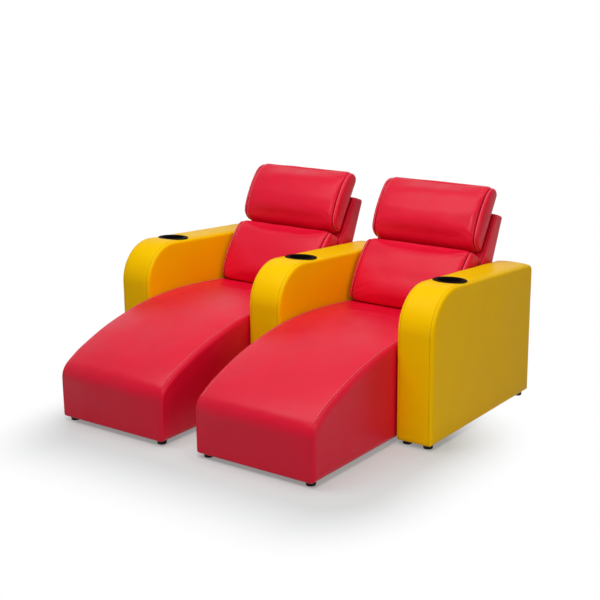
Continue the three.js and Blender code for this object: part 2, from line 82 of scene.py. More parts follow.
def roundedLine(corners, origin, arcStep=radians(5)):
    # Straight runs between corners (y, z, radius) set out from origin. A corner with a radius is an arc:
    # centre + start turned by an angle that runs from 0 to the turn.
    places = np.array([corner[:2] for corner in corners]) + origin
    radii = [corner[2] if len(corner) > 2 else 0 for corner in corners]
    runs = []
    for here, back, ahead, radius in zip(places, np.roll(places, 1, 0), np.roll(places, -1, 0), radii):
        if not radius:
            runs.append(here[None])
            continue
        toBack, toAhead = unit(back - here), unit(ahead - here)
        half = np.arccos(np.clip(toBack @ toAhead, -1, 1)) / 2
        centre = here + unit(toBack + toAhead) * radius / sin(half)
        start = here + toBack * radius / tan(half) - centre
        turn = pi - 2 * half
        way = np.sign(toBack[0] * toAhead[1] - toBack[1] * toAhead[0])
        angles = -way * np.linspace(0, turn, max(3, round(turn / arcStep) + 1))
        turned = [np.cos(angles) * start[0] - np.sin(angles) * start[1],
                  np.sin(angles) * start[0] + np.cos(angles) * start[1]]
        runs.append(centre + np.stack(turned, axis=1))
    return np.concatenate(runs)


def splineThrough(knots, count):
    # A curve through the knots: between two of them, the cubic whose slopes are half the next ones' distance
    knots = np.array(knots, float)
    places = np.linspace(0, len(knots) - 1, count)
    k = np.minimum(places.astype(int), len(knots) - 2)
    t = (places - k)[:, None]
    before, here, ahead, after = (knots[np.clip(k + step, 0, len(knots) - 1)] for step in (-1, 0, 1, 2))
    slope, nextSlope = (ahead - before) / 2, (after - here) / 2
    cubic = 2 * (here - ahead) + slope + nextSlope
    square = 3 * (ahead - here) - 2 * slope - nextSlope
    return ((cubic * t + square) * t + slope) * t + here


def runAlong(line):
    # How far along the line each of its points lies
    return np.concatenate([[0], np.cumsum(np.linalg.norm(np.diff(line, axis=0), axis=1))])


def placedAt(places, along, values):
    # Rows of values known at runs along a line, read at other places on it
    return np.stack([np.interp(places, along, column) for column in values.T], axis=1)


def evenly(line, spacing):
    # The same closed line as points that lie a fixed run apart
    loop = np.vstack([line, line[:1]])
    along = runAlong(loop)
    count = round(along[-1] / spacing)
    return placedAt(np.arange(count) * along[-1] / count, along, loop)


def softened(line, reach):
    # The closed line with its corners eased: a Gaussian of that reach, laid over it by its waves
    step = np.linalg.norm(np.roll(line, -1, 0) - line, axis=1).mean()
    fade = np.exp(-2 * (pi * np.fft.fftfreq(len(line)) * reach / step) ** 2)
    return np.real(np.fft.ifft(np.fft.fft(line, axis=0) * fade[:, None], axis=0))


def softenedShares(shares, reach=0.02):
    # One value per point, eased in the same way
    return softened(np.column_stack([shares, shares]), reach)[:, 0]


def inwardOf(line):
    # Unit normals that point into a closed anticlockwise line: the tangent turned left by a quarter
    tangent = np.roll(line, -1, 0) - np.roll(line, 1, 0)
    tangent /= np.linalg.norm(tangent, axis=1)[:, None]
    return np.stack([-tangent[:, 1], tangent[:, 0]], axis=1)


def smoothStep(low, high, value):
    share = np.clip((value - low) / (high - low), 0, 1)
    return share * share * (3 - 2 * share)


def shownRun(chosen):
    # The chosen points of a closed line as one run, begun after its gap
    shown = np.flatnonzero(chosen)
    gaps = np.diff(shown)
    return np.roll(shown, -1 - np.argmax(gaps)) if gaps.max() > 1 else shown


# Sections across a boxed form: a middle panel, the seam it dips into, and a side panel with a round edge
seamDip = (0.0052, 0.0060)  # the usual depth and reach
seamShape = {"flatTo": 1.6, "easing": 0.45, "roundSteps": 7, "puckerRun": 0.017, "pucker": 0.00045,
             "puckerReach": 0.012, "wobbleRun": 0.31, "wobble": 2.4}
dipShares = [(1, 0.03), (0.62, 0.11), (0.36, 0.29), (0.17, 0.64), (0.05, 1), (-0.05, 1), (-0.17, 0.62),
             (-0.36, 0.3), (-0.6, 0.17)]  # of the seam's reach and of its depth


def halfSection(half, sizes):
    # x and inset from the middle out to the side: a face that falls off to its shoulder, then the seam's dip,
    # then a quarter of an ellipse that is as wide as the edge and goes down by drop
    seam = half - sizes["edge"]
    drop = sizes.get("drop", sizes["edge"])
    depth, reach = sizes.get("dip", seamDip)
    fall, fallReach = sizes.get("shoulder", (0, 0.01))

    def fallAt(x):
        return fall * np.clip(1 - (seam - x) / fallReach, 0, 1) ** 2

    flat = [(x, fallAt(x)) for x in np.linspace(0, seam - seamShape["flatTo"] * reach, sizes["middles"])]
    dip = [(seam - out * reach, into * depth + fallAt(seam - out * reach)) for out, into in dipShares]
    x0, inset0 = dip[-1]
    angles = np.arange(1, seamShape["roundSteps"] + 1) / seamShape["roundSteps"] * pi / 2
    ellipse = [(x0 + (half - x0) * sin(a), inset0 + (drop - inset0) * (1 - cos(a))) for a in angles]
    return np.array(flat + dip + ellipse)


def fullSection(half, sizes):
    right = halfSection(half, sizes)
    return np.vstack([right[:0:-1] * [-1, 1], right])


# Rings of a side panel: shares of the way from its hub to its edge, and how much rounder they get inwards
hubShares = 1 - np.array([0.03, 0.08, 0.15, 0.24, 0.35, 0.48, 0.62, 0.76, 0.88, 0.96])
hubRings = len(hubShares)
hubEasing = 0.35


def bentLine(line, inset, share):
    # The line moved inwards by the inset and its share there, eased so that tight corners don't fold
    moved = line + inwardOf(line) * (inset * share)[:, None]
    return softened(moved, seamShape["easing"] * inset) if inset > seamDip[0] else moved


def boxedGrid(line, section, bulge, hub=None, crownAt=None, share=None, moveAt=None):
    # Rows: the line at each x and inset of the section, less its crown, then rings that shrink to a hub.
    # Ring = hub + (edge - hub) * share, and it stands out by bulge * (1 - share squared).
    rows = []
    share = np.ones(len(line)) if share is None else share
    for x, inset in section:
        flatLine = bentLine(line, inset, share)
        if crownAt is not None:
            flatLine = flatLine - inwardOf(line) * crownAt(x)[:, None]
        row = np.column_stack([np.full(len(line), x), flatLine])
        rows.append(row if moveAt is None else row + moveAt(x))
    hub = line.mean(axis=0) if hub is None else np.array(hub)
    nearest = np.linalg.norm(line - hub, axis=1).min()
    for side in (-1, 1):
        edgeRow = rows[0] if side < 0 else rows[-1]
        rings = []
        for ringShare in hubShares:
            easing = hubEasing * nearest * (1 - ringShare)
            ring = softened(hub + (edgeRow[:, 1:] - hub) * ringShare, easing)
            rings.append(np.column_stack([edgeRow[:, 0] + side * bulge * (1 - ringShare**2), ring]))
        rows = rings[::-1] + rows if side < 0 else rows + rings
    poles = np.array([[rows[0][0, 0], *hub], [rows[-1][0, 0], *hub]])
    return np.array(rows), poles


def gridFaces(rowCount, count, poles=True):
    # Quads between each row and the next, closed around, and a fan at both ends where there are poles
    row, at = np.meshgrid(np.arange(rowCount - 1), np.arange(count), indexing="ij")
    here, ahead = row * count + at, row * count + (at + 1) % count
    quads = np.stack([here, ahead, ahead + count, here + count], axis=-1).reshape(-1, 4)
    if not poles:
        return quads.tolist()
    ring = np.arange(count)
    first = np.stack([(ring + 1) % count, ring, np.full(count, rowCount * count)], axis=1)
    top = (rowCount - 1) * count
    last = np.stack([top + ring, top + (ring + 1) % count, np.full(count, rowCount * count + 1)], axis=1)
    return quads.tolist() + first.tolist() + last.tolist()


def cappedFaces(rowCount, count):
    # The same quads with one many-sided face over each end
    ring = list(range(count))
    last = [(rowCount - 1) * count + corner for corner in ring]
    return gridFaces(rowCount, count, poles=False) + [ring[::-1], last]


def unevenness(points, most, run, seed, waves=9):
    # A smooth random field up to about that much: waves of that run in seeded directions, added up
    dice = np.random.default_rng(seed)
    directions = dice.normal(size=(waves, 3))
    lengths = np.linalg.norm(directions, axis=1)[:, None]
    directions *= (2 * pi / run) * dice.uniform(0.6, 1.5, (waves, 1)) / lengths
    return most * np.sin(points @ directions.T + dice.uniform(0, 2 * pi, waves)).sum(axis=1) / 4


def puckers(fromSeam, line, seed):
    # Small folds beside a seam: depth * exp(-distance / reach) * folds, where
    # folds = 0.5 + 0.5 sin(2 pi s / run + wobble sin(2 pi s / its run + seed))
    turn = 2 * pi * runAlong(line)
    wobble = seamShape["wobble"] * np.sin(turn / seamShape["wobbleRun"] + seed)
    folds = 0.5 + 0.5 * np.sin(turn / seamShape["puckerRun"] + wobble)
    return seamShape["pucker"] * np.exp(-fromSeam / seamShape["puckerReach"]) * folds


def readAll(items, what):
    # A property of three numbers, of all vertices or faces
    values = np.empty(len(items) * 3)
    items.foreach_get(what, values)
    return values.reshape(-1, 3)


def setPoints(mesh, points):
    mesh.vertices.foreach_set("co", np.ascontiguousarray(points, float).ravel())
    mesh.update()


def pushOut(piece, points, distance):
    # Every point goes out along its normal
    setPoints(piece.data, points + readAll(piece.data.vertices, "normal") * distance[:, None])


def paintShadeInSeams(piece, shade):
    # How deep in a seam each point lies, from 0 to 1: the painted shade by which the leather's colour darkens
    # there
    attribute = piece.data.attributes.new("seamShade", "FLOAT", "POINT")
    attribute.data.foreach_set("value", np.clip(shade, 0, 1).ravel())


def newPiece(name, points, faces, material):
    mesh = bpy.data.meshes.new(name)
    mesh.from_pydata(np.asarray(points).reshape(-1, 3).tolist(), [], faces)
    mesh.shade_smooth()
    mesh.materials.append(material)
    piece = bpy.data.objects.new(name, mesh)
    scene.collection.objects.link(piece)
    return piece


def moveBy(place, *pieces, lean=0.0):
    # The objects stay at the origin, and their places lie in their meshes
    for piece in pieces:
        piece.data.transform(Matrix.Translation(place) @ Matrix.Rotation(-lean, 4, "X"))
        piece.data.update()


def sharpen(piece, degrees):
    # Edges that turn by more than this stay crisp
    piece.data.set_sharp_from_angle(angle=radians(degrees))


def applyModifiers(piece):
    # The piece's mesh becomes what its modifiers make of it
    made = bpy.data.meshes.new_from_object(piece.evaluated_get(bpy.context.evaluated_depsgraph_get()))
    piece.modifiers.clear()
    old = piece.data
    piece.data = made
    bpy.data.meshes.remove(old)


def finishPiece(piece, body, replaced=()):
    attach(piece, body)
    if replaced:
        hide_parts(*replaced)


def cutAway(piece, tools):
    # Takes closed bodies out of a piece and removes them
    for tool in tools:
        cutter = piece.modifiers.new("cut", "BOOLEAN")
        cutter.object = tool
        cutter.operation = "DIFFERENCE"
        cutter.solver = "MANIFOLD"
    applyModifiers(piece)
    for tool in tools:
        bpy.data.objects.remove(tool)


def turnedBody(name, profile, material, sides):
    # A profile (radius, height) carried round the Z axis: x = r cos a, y = r sin a. Its ends lie on the axis.
    profile = np.array(profile)
    angles = np.arange(sides) * 2 * pi / sides
    radii, heights = profile[1:-1].T
    points = np.stack([np.outer(radii, np.cos(angles)), np.outer(radii, np.sin(angles)),
                       np.repeat(heights[:, None], sides, axis=1)], axis=-1)
    poles = np.array([[0, 0, profile[0, 1]], [0, 0, profile[-1, 1]]])
    return newPiece(name, np.vstack([points.reshape(-1, 3), poles]), gridFaces(len(radii), sides), material)


class NodeSheet:
    # Lays out nodes in rows. An input that is a socket is linked, any other is set.
    def __init__(self, tree):
        self.tree = tree
        self.made = 0

    def plug(self, socket, value):
        if isinstance(value, bpy.types.NodeSocket):
            self.tree.links.new(value, socket)
        else:
            socket.default_value = value

    def feed(self, node, inputs):
        for key, value in inputs.items():
            self.plug(node.inputs[key], value)

    def node(self, kind, inputs=None, **settings):
        new = self.tree.nodes.new(kind)
        new.location = (220 * (self.made % 8), -260 * (self.made // 8))
        self.made += 1
        for key, value in settings.items():
            setattr(new, key, value)
        self.feed(new, inputs or {})
        return new

    def math(self, operation, *inputs):
        return self.node("ShaderNodeMath", dict(enumerate(inputs)), operation=operation).outputs[0]

    def ramp(self, value, low, high, lowOut=0.0, highOut=1.0):
        inputs = {"Value": value, "From Min": low, "From Max": high, "To Min": lowOut, "To Max": highOut}
        return self.node("ShaderNodeMapRange", inputs, interpolation_type="SMOOTHSTEP").outputs[0]

    def mixColour(self, factor, first, second):
        mixer = self.node("ShaderNodeMix", data_type="RGBA")
        for socket, value in zip([s for s in mixer.inputs if s.enabled], (factor, first, second)):
            self.plug(socket, value)
        return [s for s in mixer.outputs if s.enabled][0]

    def noise(self, where, scale, detail=2.0, roughness=0.5, output="Fac"):
        inputs = {"Vector": where, "Scale": scale, "Detail": detail, "Roughness": roughness}
        return self.node("ShaderNodeTexNoise", inputs).outputs[output]

    def stretched(self, where, scale):
        return self.node("ShaderNodeMapping", {"Vector": where, "Scale": scale}).outputs[0]

    def bump(self, height, distance, strength=1.0, **under):
        inputs = {"Height": height, "Distance": distance, "Strength": strength, **under}
        return self.node("ShaderNodeBump", inputs).outputs[0]

    def objectPlace(self):
        return self.node("ShaderNodeTexCoord").outputs["Object"]


def emptySheet(owner):
    # A cleared node tree, of a material or a world
    owner.use_nodes = True
    owner.node_tree.nodes.clear()
    return NodeSheet(owner.node_tree)


# Shared effects, each a node group


def newGroup(name, inputs, outputs):
    group = bpy.data.node_groups.new(name, "ShaderNodeTree")
    for label, value in inputs.items():
        socket = group.interface.new_socket(label, in_out="INPUT", socket_type="NodeSocketFloat")
        socket.default_value = value
    for label in outputs:
        group.interface.new_socket(label, in_out="OUTPUT", socket_type="NodeSocketFloat")
    sheet = NodeSheet(group)
    return group, sheet, sheet.node("NodeGroupInput").outputs, sheet.node("NodeGroupOutput")


def makeLeatherGroup():
    # Leatherette: pebbles of about a millimetre with fine creases between them, slow dents and tone drifts
    scales = {"Pebble Scale": 780.0, "Crease Scale": 260.0, "Dent Scale": 9.0}
    group, sheet, given, out = newGroup("leatherGrain", scales, ["Height", "Dent", "Tone"])
    where = sheet.objectPlace()
    swirl = sheet.noise(where, 140.0, output="Color")
    small = sheet.node("ShaderNodeVectorMath", {0: swirl, "Scale": 0.0011}, operation="SCALE").outputs[0]
    shifted = sheet.node("ShaderNodeVectorMath", {0: where, 1: small}, operation="ADD").outputs[0]
    pebbles = sheet.node("ShaderNodeTexVoronoi", {"Vector": shifted, "Scale": given["Pebble Scale"]},
                         feature="SMOOTH_F1").outputs["Distance"]
    creases = sheet.noise(where, given["Crease Scale"], 3.0, 0.6)
    dents = sheet.noise(where, given["Dent Scale"], 2.0, 0.45)
    sheet.feed(out, {
        "Height": sheet.math("MULTIPLY_ADD", creases, 0.7, sheet.ramp(pebbles, 0.1, 0.75, 1.0, 0.0)),
        "Dent": dents,
        "Tone": sheet.math("MULTIPLY_ADD", creases, 0.35, sheet.math("MULTIPLY", dents, 0.65)),
    })
    return group


def makeWoodGroup():
    # Plywood: long grain along Y, bands of a stretched noise, and finer noise for the fibres
    group, sheet, given, out = newGroup("plyGrain", {"Fibre Scale": 60.0}, ["Grain", "Fibre"])
    long = sheet.stretched(sheet.objectPlace(), (1.0, 0.09, 1.0))
    rings = sheet.noise(long, 11.0, 4.0, 0.55)
    bands = sheet.math("SINE", sheet.math("MULTIPLY", rings, 42.0))
    sheet.feed(out, {"Grain": sheet.ramp(bands, -1.0, 1.0),
                     "Fibre": sheet.noise(long, given["Fibre Scale"], 5.0, 0.7)})
    return group


def makeFineGroup():
    # Fine mottle and faint scuffs for moulded plastic and painted steel
    scales = {"Speck Scale": 900.0, "Scuff Scale": 38.0}
    group, sheet, given, out = newGroup("fineMottle", scales, ["Speck", "Scuff"])
    where = sheet.objectPlace()
    scuffs = sheet.noise(sheet.stretched(where, (1.0, 0.2, 0.6)), given["Scuff Scale"], 6.0, 0.7)
    sheet.feed(out, {"Speck": sheet.noise(where, given["Speck Scale"], 2.0, 0.6),
                     "Scuff": sheet.ramp(scuffs, 0.52, 0.72)})
    return group


leatherGroup, woodGroup, fineGroup = makeLeatherGroup(), makeWoodGroup(), makeFineGroup()


def newMaterial(name, specular, **others):
    material = bpy.data.materials.new(name)
    sheet = emptySheet(material)
    shader = sheet.node("ShaderNodeBsdfPrincipled", {"Specular IOR Level": specular, **others})
    sheet.node("ShaderNodeOutputMaterial", {"Surface": shader.outputs[0]})
    return material, sheet, shader


def rgba(colour, factor=1.0):
    return (*[channel * factor for channel in colour], 1.0)


def leather(name, colour, paintedShadeTone, roughness, specular, drift, pebbles, dents):
    # The colour drifts between two tones and darkens with painted shade in the seams. Roughness and both
    # bumps follow the grain.
    material, sheet, shader = newMaterial(name, specular)
    grain = sheet.node("ShaderNodeGroup", node_tree=leatherGroup).outputs
    tone = sheet.ramp(grain["Tone"], 0.3, 0.7)
    drifting = sheet.mixColour(tone, rgba(colour, 1 - drift), rgba(colour, 1 + drift))
    # Painted shade: the colour darkens to a set share of itself where a point's seamShade attribute is high
    paintedSeamShade = sheet.node("ShaderNodeAttribute", attribute_name="seamShade").outputs["Fac"]
    sheet.feed(shader, {
        "Base Color": sheet.mixColour(paintedSeamShade, drifting, rgba(colour, paintedShadeTone)),
        "Roughness": sheet.ramp(grain["Tone"], 0.25, 0.75, roughness - 0.04, roughness + 0.05),
        "Normal": sheet.bump(grain["Height"], 0.00012, pebbles, Normal=sheet.bump(grain["Dent"], dents)),
    })
    return material


def thread(name, colour):
    # Twisted thread: fine slanting ridges across it
    material, sheet, shader = newMaterial(name, 0.1)
    inputs = {"Vector": sheet.objectPlace(), "Scale": 420.0, "Distortion": 0.6}
    twist = sheet.node("ShaderNodeTexWave", inputs, bands_direction="DIAGONAL").outputs["Fac"]
    sheet.feed(shader, {"Base Color": sheet.mixColour(twist, rgba(colour, 0.65), rgba(colour)),
                        "Roughness": sheet.ramp(twist, 0, 1, 0.45, 0.62),
                        "Normal": sheet.bump(twist, 0.0001)})
    return material


def hardFinish(name, colour, roughness, specular, metallic, scuffTone, specks):
    # Moulded plastic or painted steel: specks in its height, scuffs in its roughness and tone
    material, sheet, shader = newMaterial(name, specular, Metallic=metallic)
    fine = sheet.node("ShaderNodeGroup", node_tree=fineGroup).outputs
    sheet.feed(shader, {"Base Color": sheet.mixColour(fine["Scuff"], rgba(colour), rgba(colour, scuffTone)),
                        "Roughness": sheet.ramp(fine["Scuff"], 0, 1, roughness, roughness + 0.14),
                        "Normal": sheet.bump(fine["Speck"], 0.00015, specks)})
    return material


def plywood(name, pale, dark):
    # The grain mixes a pale and a dark tone, and the fibres darken, roughen and raise it
    material, sheet, shader = newMaterial(name, 0.35)
    wood = sheet.node("ShaderNodeGroup", node_tree=woodGroup).outputs
    ringed = sheet.mixColour(wood["Grain"], rgba(pale), rgba(dark))
    darkened = sheet.mixColour(sheet.ramp(wood["Fibre"], 0.35, 0.7, 0.0, 0.5), ringed, rgba(dark, 0.7))
    sheet.feed(shader, {"Base Color": darkened,
                        "Roughness": sheet.ramp(wood["Fibre"], 0.3, 0.7, 0.55, 0.78),
                        "Normal": sheet.bump(wood["Fibre"], 0.0003, 0.5)})
    return material


def feltLining(name, colour):
    # Non-woven lining: one fine noise of matted fibres in its colour, roughness and height
    material, sheet, shader = newMaterial(name, 0.15, **{"Sheen Weight": 0.2})
    fibres = sheet.noise(sheet.objectPlace(), 1400.0, 4.0, 0.7)
    sheet.feed(shader, {"Base Color": sheet.mixColour(fibres, rgba(colour, 0.7), rgba(colour, 1.5)),
                        "Roughness": sheet.ramp(fibres, 0.3, 0.7, 0.8, 0.95),
                        "Normal": sheet.bump(fibres, 0.0003)})
    return material


# Both leathers darken to a share of their colour in the seams: painted shade
redLeather = leather("redLeather", (0.74, 0.004, 0.032), paintedShadeTone=0.32, roughness=0.35, specular=0.2,
                     drift=0.025, pebbles=0.55, dents=0.0035)
yellowLeather = leather("yellowLeather", (0.985, 0.580, 0.0004), paintedShadeTone=0.6, roughness=0.36, specular=0.035,
                        drift=0.015, pebbles=0.5, dents=0.0025)
# The threads are paler than the leather: partly the stitching's own lighter colour, partly a painted
# highlight for the glints along the seams
redThread = thread("redThread", (1.0, 0.41, 0.48))
yellowThread = thread("yellowThread", (1.0, 0.75, 0.012))
cupPlastic = hardFinish("cupPlastic", (0.004, 0.003, 0.003), roughness=0.6, specular=0.025, metallic=0.0,
                        scuffTone=1.6, specks=0.35)
footPlastic = hardFinish("footPlastic", (0.010, 0.009, 0.009), roughness=0.55, specular=0.2, metallic=0.0,
                         scuffTone=2.2, specks=0.6)
hingeSteel = hardFinish("hingeSteel", (0.035, 0.035, 0.038), roughness=0.42, specular=0.5, metallic=0.6,
                        scuffTone=2.0, specks=0.25)
boardWood = plywood("boardWood", (0.60, 0.42, 0.24), (0.42, 0.26, 0.12))
blackLining = feltLining("blackLining", (0.012, 0.012, 0.013))
print("materials made:", len(bpy.data.materials))

# Camera, at the photograph's angle
camera = {"fromFront": (3.0578, -3.9489, 1.8011), "yaw": 36.046, "pitch": 14.964, "roll": -0.511,
          "lens": 75.476, "sensor": 36.0}


def placeCamera():
    yaw, pitch, roll = (radians(camera[angle]) for angle in ("yaw", "pitch", "roll"))
    ahead = np.array([-sin(yaw) * cos(pitch), cos(yaw) * cos(pitch), -sin(pitch)])
    level = np.array([cos(yaw), sin(yaw), 0])
    over = np.cross(level, ahead)
    turn = np.eye(4)
    turn[:3, 0] = level * cos(roll) + over * sin(roll)
    turn[:3, 1] = over * cos(roll) - level * sin(roll)
    turn[:3, 2] = -ahead
    turn[:3, 3] = np.array(camera["fromFront"]) + [0, frontY, baseZ]
    data = bpy.data.cameras.new("camera")
    data.lens, data.sensor_width = camera["lens"], camera["sensor"]
    scene.camera = bpy.data.objects.new("camera", data)
    scene.camera.matrix_world = Matrix(turn.tolist())
    scene.collection.objects.link(scene.camera)


placeCamera()

# Studio: a pale floor that fades to white, soft lamps and a plain world
studio = {"floor": 30.0, "floorTone": 0.66, "floorRed": 0.935, "worldTone": 0.135, "veil": 0.25,
          "shadowMiddle": (0.14, -0.40, 0.0), "shadowHalf": (0.56, 0.22, 0.0),
          "shadowReach": (0.46, 0.65, 1.0)}
white, blush = (1, 1, 1), (1, 0.86, 0.8)
lamps = {  # place, aim, size, power and tint
    "overheadLamp": ((0.2, -0.2, 3.4), (0, 0.1, 0.4), 2.0, 36, white),
    "foreLamp": ((-1.0, -1.2, 3.1), (-0.3, 0, 0.4), 1.4, 25, white),
    "sideLamp": ((4.2, -0.8, 1.9), (0.3, 0.1, 0.4), 2.0, 34, blush),
    "glossLamp": ((1.05, -2.0, 2.5), (0.36, 0.3, 0.55), 0.5, 25, white),
}


def backgroundRay(sheet):
    # One for rays that come from the camera, a reflection or a glass, and nought for the light on the object
    path = sheet.node("ShaderNodeLightPath").outputs
    seen = sheet.math("MAXIMUM", path["Is Camera Ray"], path["Is Glossy Ray"])
    return sheet.math("MAXIMUM", seen, path["Is Transmission Ray"])


def makeFloor():
    half = studio["floor"] / 2
    corners = [(-half, -half, 0), (half, -half, 0), (half, half, 0), (-half, half, 0)]
    material = bpy.data.materials.new("paleFloor")
    sheet = emptySheet(material)
    # The shadow shows near the row only: white grows with the length of max(|p - middle| - half, 0) / reach
    where = outside = sheet.objectPlace()
    for step in (("SUBTRACT", studio["shadowMiddle"]), ("ABSOLUTE",), ("SUBTRACT", studio["shadowHalf"]),
                 ("MAXIMUM", (0, 0, 0)), ("DIVIDE", studio["shadowReach"])):
        inputs = dict(enumerate([outside, *step[1:]]))
        outside = sheet.node("ShaderNodeVectorMath", inputs, operation=step[0]).outputs[0]
    away = sheet.node("ShaderNodeVectorMath", {0: outside}, operation="LENGTH").outputs["Value"]
    fade = sheet.math("MAXIMUM", sheet.ramp(away, 0.0, 1.0), studio["veil"])
    fade = sheet.math("MULTIPLY", fade, backgroundRay(sheet))
    tone = studio["floorTone"]
    mottle = sheet.ramp(sheet.noise(where, 3.0, 3.0), 0.3, 0.7, tone * 0.99, tone)
    # The red is cut by floorRed so that the red light bounced from the chaises looks grey: a colour painted
    # against the bounce light
    channels = {"Red": sheet.math("MULTIPLY", mottle, studio["floorRed"]), "Green": mottle, "Blue": mottle}
    colour = sheet.node("ShaderNodeCombineColor", channels).outputs[0]
    matt = sheet.node("ShaderNodeBsdfDiffuse", {"Color": colour}).outputs[0]
    glow = sheet.node("ShaderNodeEmission", {"Color": rgba(white), "Strength": 1.0}).outputs[0]
    mixed = sheet.node("ShaderNodeMixShader", {0: fade, 1: matt, 2: glow}).outputs[0]
    sheet.node("ShaderNodeOutputMaterial", {"Surface": mixed})
    newPiece("floor", corners, [[0, 1, 2, 3]], material)


def makeLights():
    world = bpy.data.worlds.new("studioWorld")
    sheet = emptySheet(world)
    strength = sheet.ramp(backgroundRay(sheet), 0, 1, studio["worldTone"], 1.0)
    glow = sheet.node("ShaderNodeBackground", {"Color": rgba(white), "Strength": strength}).outputs[0]
    sheet.node("ShaderNodeOutputWorld", {"Surface": glow})
    scene.world = world
    for name, (place, aim, size, power, tint) in lamps.items():
        data = bpy.data.lights.new(name, "AREA")
        data.shape, data.size, data.energy, data.color = "SQUARE", size, power, tint
        holder = bpy.data.objects.new(name, data)
        away = np.array(place) - np.array(aim)
        turned = Vector(away.tolist()).to_track_quat("Z", "Y").to_matrix().to_4x4()
        holder.matrix_world = Matrix.Translation(place) @ turned
        scene.collection.objects.link(holder)


makeFloor()
makeLights()
scene.view_settings.view_transform = "Standard"
print("studio and camera set")

# Stitching: short threads, each a small capsule laid on a seam
stitch = {"pitch": 0.0062, "length": 0.0046, "radius": 0.0008, "sides": 6, "sink": 0.0001}


def stitchTemplate():
    # Rings along a capsule: radius = r * sqrt(1 - u^4) at u from -1 to 1, lying along the first axis
    u = np.array([-0.96, -0.7, 0, 0.7, 0.96])
    sides, reach = stitch["sides"], stitch["length"] / 2
    angles = np.arange(sides) * 2 * pi / sides
    radius = stitch["radius"] * np.sqrt(1 - u**4)
    points = np.stack([np.repeat(u[:, None] * reach, sides, 1),
                       np.outer(radius, np.cos(angles)), np.outer(radius, np.sin(angles))], axis=-1)
    return np.vstack([points.reshape(-1, 3), [(-reach, 0, 0), (reach, 0, 0)]]), gridFaces(len(u), sides)


def stitchSeams(name, piece, count, row, shown, material):
    # Stitches along the shown points of a piece's row, and of the row that mirrors it, in rows of that count.
    # There is one at every pitch: place + tangent * a + side * b + normal * c
    template, faces = stitchTemplate()
    points, normals = readAll(piece.data.vertices, "co"), readAll(piece.data.vertices, "normal")
    stitches = []
    for start in (row, len(points) // count - 1 - row):
        path = points[start * count + shown]
        along = runAlong(path)
        places = np.arange(stitch["pitch"] / 2, along[-1], stitch["pitch"])
        centre = placedAt(places, along, path)
        tangent = placedAt(places + stitch["length"] / 2, along, path) - centre
        tangent /= np.maximum(np.linalg.norm(tangent, axis=1), 1e-9)[:, None]
        normal = placedAt(places, along, normals[start * count + shown])
        normal -= tangent * (normal * tangent).sum(axis=1)[:, None]
        normal /= np.linalg.norm(normal, axis=1)[:, None]
        axes = np.stack([tangent, np.cross(normal, tangent), normal], axis=1)
        stitches.append((centre + normal * stitch["sink"])[:, None] + template @ axes)
    stitches = np.concatenate(stitches)
    starts = np.arange(len(stitches))[:, None] * len(template)
    return newPiece(name, stitches, [one for face in faces for one in (starts + face).tolist()], material)


def boxedPiece(name, node, line, sizes, seed, material, **shaping):
    # A closed boxed form as wide as a node, with slow unevenness and puckers and painted shade along its
    # seams
    half = halfAcross(node) - sizes["bulge"]
    seam = half - sizes.get("seam", sizes["edge"])
    grid, poles = boxedGrid(line, fullSection(half, sizes), sizes["bulge"], **shaping)
    points = np.vstack([grid.reshape(-1, 3), poles])
    piece = newPiece(name, points, gridFaces(len(grid), len(line)), material)
    fromSeam = np.abs(np.abs(grid[:, :, 0]) - seam)
    fromSeam[:hubRings] = fromSeam[-hubRings:] = np.inf  # the side panels lie smooth
    slow = unevenness(points, *sizes["uneven"], seed)
    pushOut(piece, points, slow - np.append(puckers(fromSeam, line, seed), [0, 0]))
    # Painted shade in the seams: a Gaussian of the distance from the seam line
    paintShadeInSeams(piece, np.append(np.exp(-((fromSeam / sizes["seamShadeWidth"]) ** 2)), [0, 0]))
    return piece


print("helpers ready")

# Arms: a band over the front, the top and the rear between two side panels, lined underneath
arm = {"height": 0.603, "fall": radians(3.7), "frontRadius": 0.170, "cornerRadius": 0.027,
       "footRadius": 0.005, "edge": 0.0145, "dip": (0.0013, 0.0032), "bulge": 0.0022, "crown": 0.003,
       "spacing": 0.007, "middles": 9, "stitchRow": hubRings + 12, "stitchFrom": 0.012,
       "seamShadeWidth": 0.0009, "uneven": (0.00035, 0.16), "lining": 0.002}
cup = {"reach": 0.262, "flange": 0.0685, "hole": 0.0508, "depth": 0.076, "over": 0.05,
       "dip": 0.0012, "dipReach": 0.008, "dipBelow": 0.03}


def armTopAt(y):
    behind = (y - arm["frontRadius"]) * sin(arm["fall"])
    return arm["height"] - arm["frontRadius"] + (arm["frontRadius"] - behind) / cos(arm["fall"])


cupAt = np.array([0, frontY + cup["reach"], baseZ + armTopAt(cup["reach"])])  # from the arm's middle


def armLine():
    corners = [(0, 0, arm["footRadius"]), (armLength, 0, arm["footRadius"]),
               (armLength, armTopAt(armLength), arm["cornerRadius"]), (0, armTopAt(0), arm["frontRadius"])]
    return evenly(roundedLine(corners, frontAt, radians(2)), arm["spacing"])


